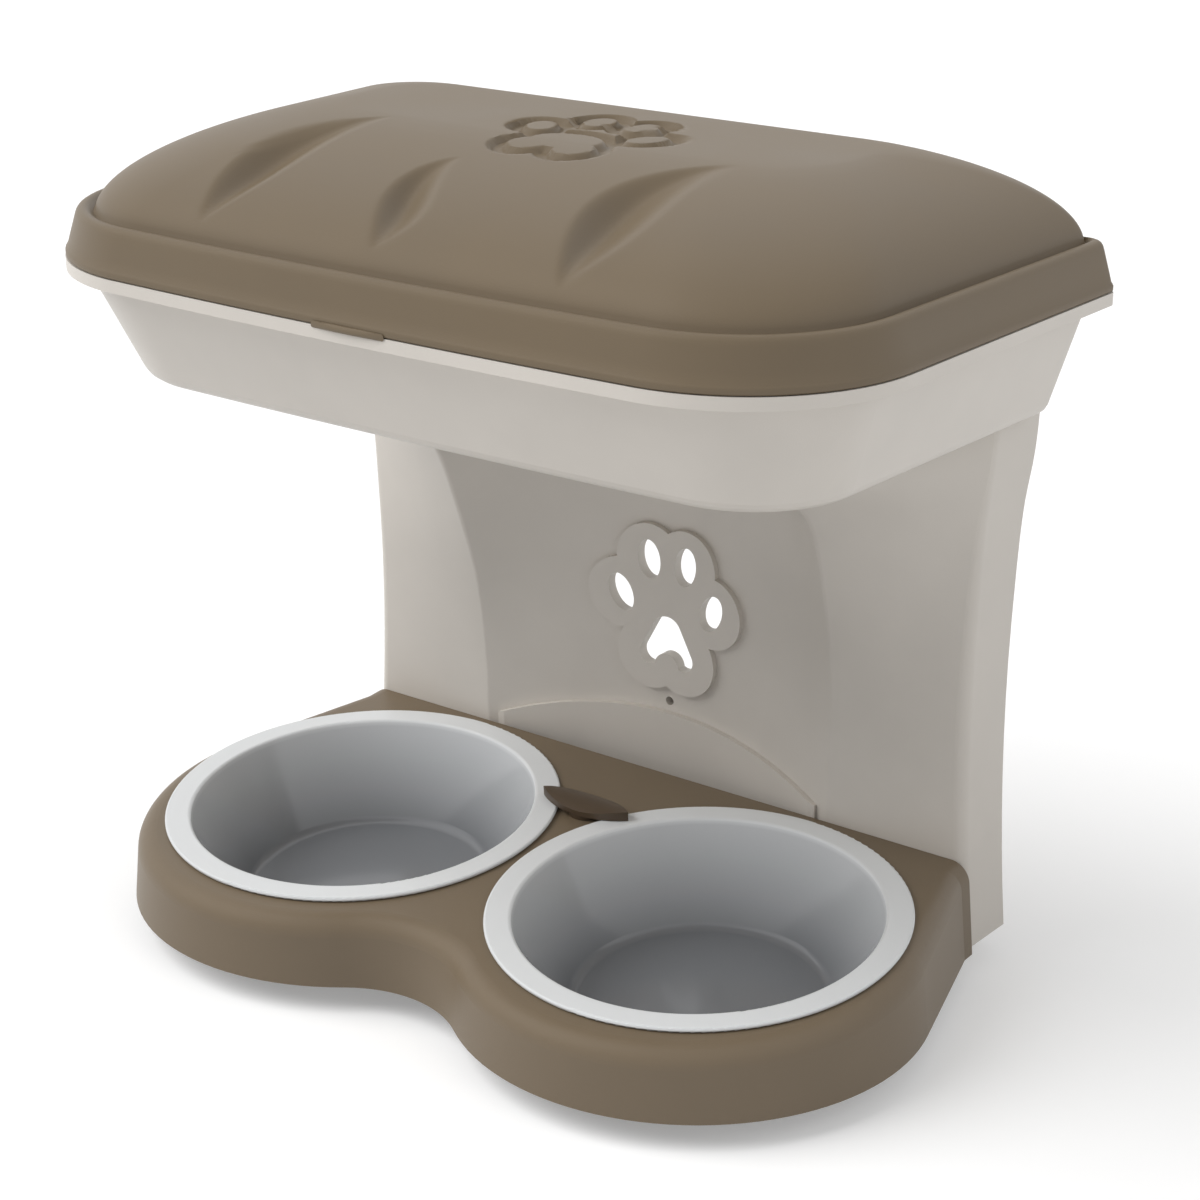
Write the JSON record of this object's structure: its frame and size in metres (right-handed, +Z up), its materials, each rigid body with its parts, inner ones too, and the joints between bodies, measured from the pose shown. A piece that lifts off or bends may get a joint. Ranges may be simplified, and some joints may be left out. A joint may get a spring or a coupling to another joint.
{
  "type": "pet bowl stand",
  "caption": "Pet feeding stand with a lidded food tub carried on a waisted back stand above a figure-eight tray whose round bowls are kept down by a turning lock.",
  "frame": {"origin": "on the floor under the middle of the stand's bounding box", "axes": "+X to the viewer's right along the two bowls, +Y to the rear wall side, +Z up"},
  "size_m": [0.478, 0.2746, 0.4208],
  "materials": {
    "shell_plastic": "fine satin moulded",
    "cover_plastic": "fine satin moulded",
    "bowl_plastic": "smooth gloss",
    "lock_plastic": "fine satin moulded",
    "steel": "zinc plated",
    "rubber": "soft matt"
  },
  "bodies": {
    "base": {"back_stand": "shell_plastic", "food_tub": "shell_plastic", "lid_hinge_pins": "steel", "bowl_tray": "cover_plastic", "tub_screws": "steel", "tray_screws": "steel", "tray_pads": "rubber", "stand_feet": "rubber"},
    "lid": {"lid": "cover_plastic"},
    "bowl_left": {"bowl_left": "bowl_plastic"},
    "bowl_right": {"bowl_right": "bowl_plastic"},
    "lock": {"bowl_lock": "lock_plastic", "lock_screw": "steel", "lock_washer": "steel"}
  },
  "joints": [
    {"name": "lid_hinge", "type": "hinge", "parent": "base", "child": "lid", "pos_m": [0, 0.1336, 0.358], "axis": [-1, 0, 0], "range_deg": [0, 100]},
    {"name": "lock_turn", "type": "hinge", "parent": "base", "child": "lock", "pos_m": [0, 0.041, 0.06202], "axis": [0, -0.0637, 0.998], "range_deg": [-90, 90]},
    {"name": "bowl_left_turn", "type": "hinge", "parent": "base", "child": "bowl_left", "pos_m": [-0.1075, -0.0126, 0.0586], "axis": [0, -0.0637, 0.998], "continuous": true},
    {"name": "bowl_right_turn", "type": "hinge", "parent": "base", "child": "bowl_right", "pos_m": [0.1075, -0.0126, 0.0586], "axis": [0, -0.0637, 0.998], "continuous": true}
  ]
}
